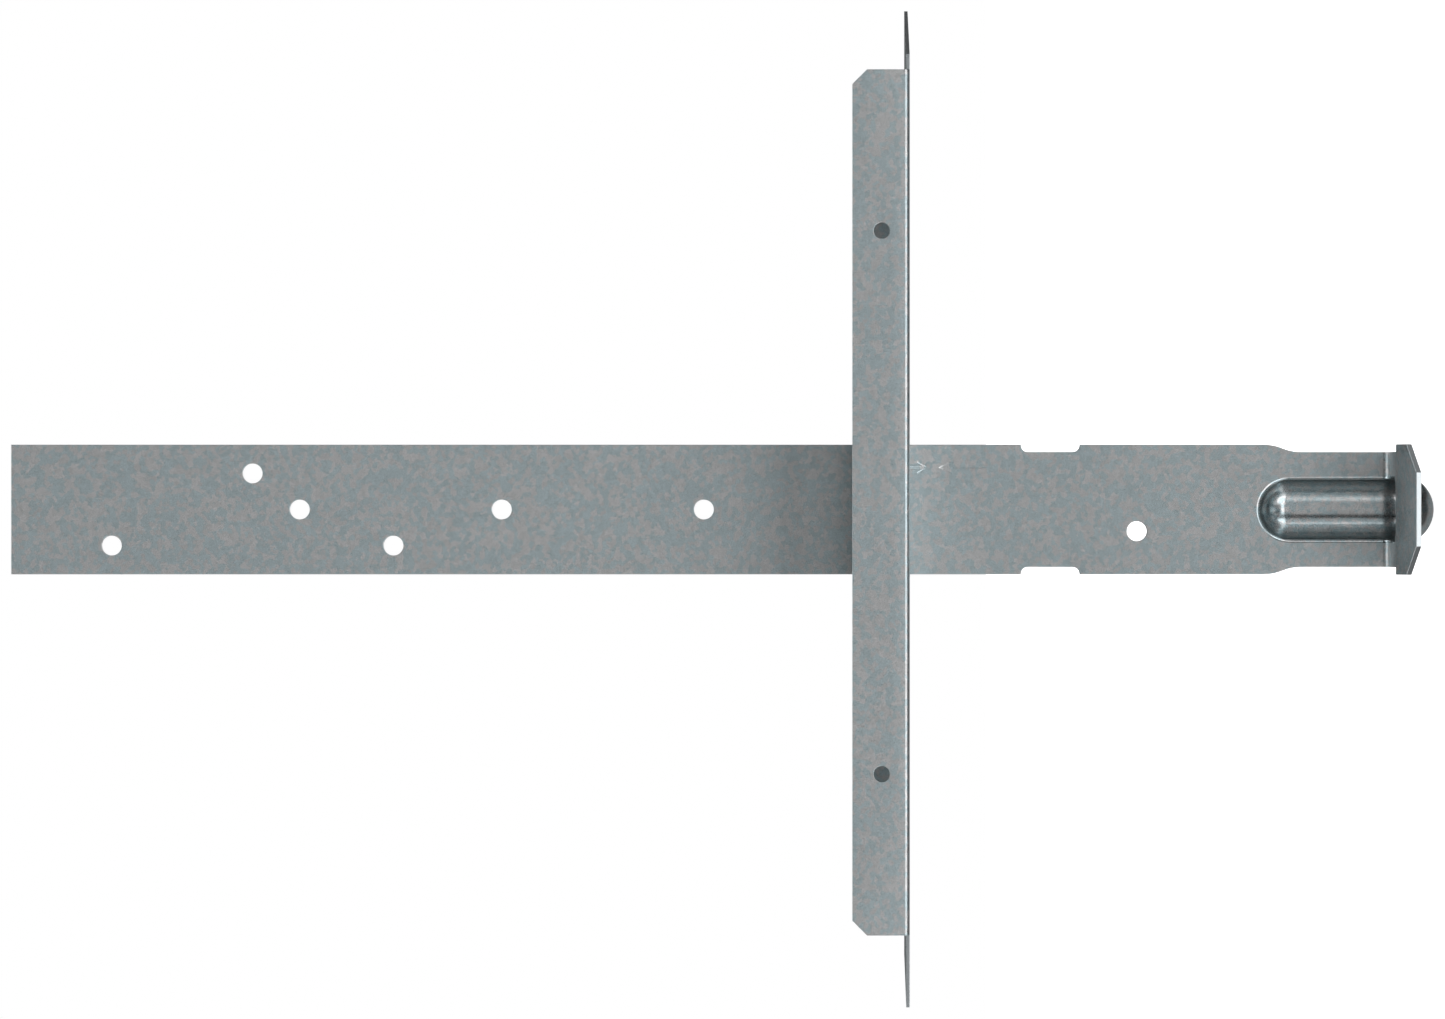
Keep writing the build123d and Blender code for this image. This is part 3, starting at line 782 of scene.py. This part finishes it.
studio = {
    "floorHalf": 6.0, "floorColour": (0.85, 0.85, 0.85), "floorRoughness": 0.9, "floorGlow": 0.8,
    "floorLight": 1.1, "background": 1.0, "roomTint": (0.985, 1, 1.01),
    # brightness of the room by the angle down from straight ahead (+) or up over the top (-)
    "byHeight": [(-180, 0.04), (-112, 0.05), (-102, 1.6), (-52, 1.6), (-41, 0.06), (-8, 0.06), (0, 0.61),
                 (11, 0.61), (14, 0.1), (18, 0.1), (21, 2.4), (55, 2.4), (58, 0.06), (108, 0.06),
                 (116, 0.3), (177, 0.3), (180, 0.04)],
    # and what is left of it to the sides
    "bySide": [(-90, 0.05), (-76, 0.06), (-64, 0.9), (-50, 1.2), (-45, 1.9), (-37, 1.9), (-32, 0.9),
               (0, 1.0), (16, 0.9), (22, 0.1), (31, 0.1), (36, 0.9), (50, 1.2), (55, 3.0), (65, 3.0),
               (69, 0.1), (90, 0.05)],
    "ceiling": 2.4,  # no part of the room is brighter than this
    "rearFill": 0.9, "rearFrom": 0.45, "rearFull": 0.85,  # by how squarely a reflection looks backwards
    "key": {"at": (0.5, -1.6, 1.9), "aim": (0, 0, 0), "size": 1.4, "watts": 22},
}


def curveOf(tree, angle, stops, low, high):
    # turns an angle in degrees into a level
    across = addNode(tree, "ShaderNodeMapRange", in0=angle, in1=low, in2=high)
    ramp = addNode(tree, "ShaderNodeValToRGB", in0=across.outputs[0])
    top = max(level for place, level in stops)
    points = ramp.color_ramp.elements
    while len(points) < len(stops):
        points.new(0.5)
    for point, (place, level) in zip(points, stops):
        point.position = (place - low) / (high - low)
        point.color = (*(level / top,) * 3, 1)
    return mathNode(tree, "MULTIPLY", in0=ramp.outputs[0], in1=top).outputs[0]


def makeRoom(k):
    # what the bright metal mirrors; the floor and the background stay plain and pale
    world = bpy.data.worlds.new("studioRoom")
    world.use_nodes = True
    bpy.context.scene.world = world
    tree = world.node_tree
    tree.nodes.clear()
    way = addNode(tree, "ShaderNodeTexCoord")
    xyz = addNode(tree, "ShaderNodeSeparateXYZ", Vector=way.outputs["Generated"])
    down = mathNode(tree, "MULTIPLY", in0=xyz.outputs[2], in1=-1.0)
    ahead = mathNode(tree, "MULTIPLY", in0=xyz.outputs[1], in1=-1.0)
    height = mathNode(tree, "ARCTAN2", in0=down.outputs[0], in1=ahead.outputs[0])
    heightDegrees = mathNode(tree, "DEGREES", in0=height.outputs[0])
    side = mathNode(tree, "ARCSINE", in0=xyz.outputs[0])
    sideDegrees = mathNode(tree, "DEGREES", in0=side.outputs[0])
    heightLevel = curveOf(tree, heightDegrees.outputs[0], k["byHeight"], -180, 180)
    sideLevel = curveOf(tree, sideDegrees.outputs[0], k["bySide"], -90, 90)
    room = mathNode(tree, "MULTIPLY", in0=heightLevel, in1=sideLevel)
    # a fill from behind for the first reflection only, so that folds in the sheet stay dark inside
    ray = addNode(tree, "ShaderNodeLightPath")
    rear = addNode(tree, "ShaderNodeMapRange", {"interpolation_type": "SMOOTHSTEP"}, in0=xyz.outputs[1],
                   in1=k["rearFrom"], in2=k["rearFull"], in3=0.0, in4=k["rearFill"])
    capped = mathNode(tree, "MINIMUM", in0=room.outputs[0], in1=k["ceiling"])
    first = mathNode(tree, "LESS_THAN", in0=ray.outputs["Ray Depth"], in1=2.0)
    level = mathNode(tree, "MULTIPLY_ADD", in0=rear.outputs[0], in1=first.outputs[0], in2=capped.outputs[0])
    mirrored = addNode(tree, "ShaderNodeBackground", Strength=level.outputs[0])
    pale = addNode(tree, "ShaderNodeBackground", Strength=k["floorLight"])
    behind = addNode(tree, "ShaderNodeBackground", Strength=k["background"])
    for shade, colour in ((mirrored, k["roomTint"]), (pale, (1, 1, 1)), (behind, (1, 1, 1))):
        shade.inputs["Color"].default_value = (*colour, 1)
    lit = addNode(tree, "ShaderNodeMixShader", in0=ray.outputs["Is Diffuse Ray"], in1=mirrored.outputs[0],
                  in2=pale.outputs[0])
    seen = addNode(tree, "ShaderNodeMixShader", in0=ray.outputs["Is Camera Ray"], in1=lit.outputs[0],
                   in2=behind.outputs[0])
    out = addNode(tree, "ShaderNodeOutputWorld")
    tree.links.new(seen.outputs[0], out.inputs["Surface"])


def makeFloor(k):
    size, low = k["floorHalf"], cadBox[0].z
    corners = [(-size, -size, low), (size, -size, low), (size, size, low), (-size, size, low)]
    mesh = bpy.data.meshes.new("floor")
    mesh.from_pydata(corners, [], [(0, 1, 2, 3)])
    floor = bpy.data.objects.new("floor", mesh)
    bpy.context.collection.objects.link(floor)
    material = bpy.data.materials.new("paleFloor")
    material.use_nodes = True
    shader = material.node_tree.nodes["Principled BSDF"]
    shader.inputs["Base Color"].default_value = (*k["floorColour"], 1)
    shader.inputs["Roughness"].default_value = k["floorRoughness"]
    shader.inputs["Specular IOR Level"].default_value = 0.0
    shader.inputs["Emission Color"].default_value = (1, 1, 1, 1)
    shader.inputs["Emission Strength"].default_value = k["floorGlow"]
    mesh.materials.append(material)
    floor.visible_glossy = floor.visible_shadow = False  # so the room lights the metal from below as well


def makeLight(name, k):
    lamp = bpy.data.lights.new(name, "AREA")
    lamp.size, lamp.energy = k["size"], k["watts"]
    light = bpy.data.objects.new(name, lamp)
    light.location = k["at"]
    light.rotation_euler = (Vector(k["aim"]) - Vector(k["at"])).to_track_quat("-Z", "Y").to_euler()
    light.visible_camera = False
    light.visible_glossy = False  # the room already holds the lights that the metal mirrors
    bpy.context.collection.objects.link(light)


view = {"distance": 3.564, "aimHeight": 0.0467, "lens": 403.6, "sensor": 36}


def makeCamera(k):
    # looks square at the strap's front face, with the strap's top end to the left
    camera = bpy.data.objects.new("camera", bpy.data.cameras.new("camera"))
    camera.data.lens, camera.data.sensor_width = k["lens"], k["sensor"]
    turned = Matrix(((0, 1, 0), (0, 0, -1), (-1, 0, 0))).to_4x4()
    camera.matrix_world = Matrix.Translation((0, -k["distance"], k["aimHeight"])) @ turned
    bpy.context.collection.objects.link(camera)
    bpy.context.scene.camera = camera


makeRoom(studio)
makeFloor(studio)
makeLight("softKey", studio["key"])
makeCamera(view)
bpy.context.scene.view_settings.view_transform = "Standard"
print("studio ready")
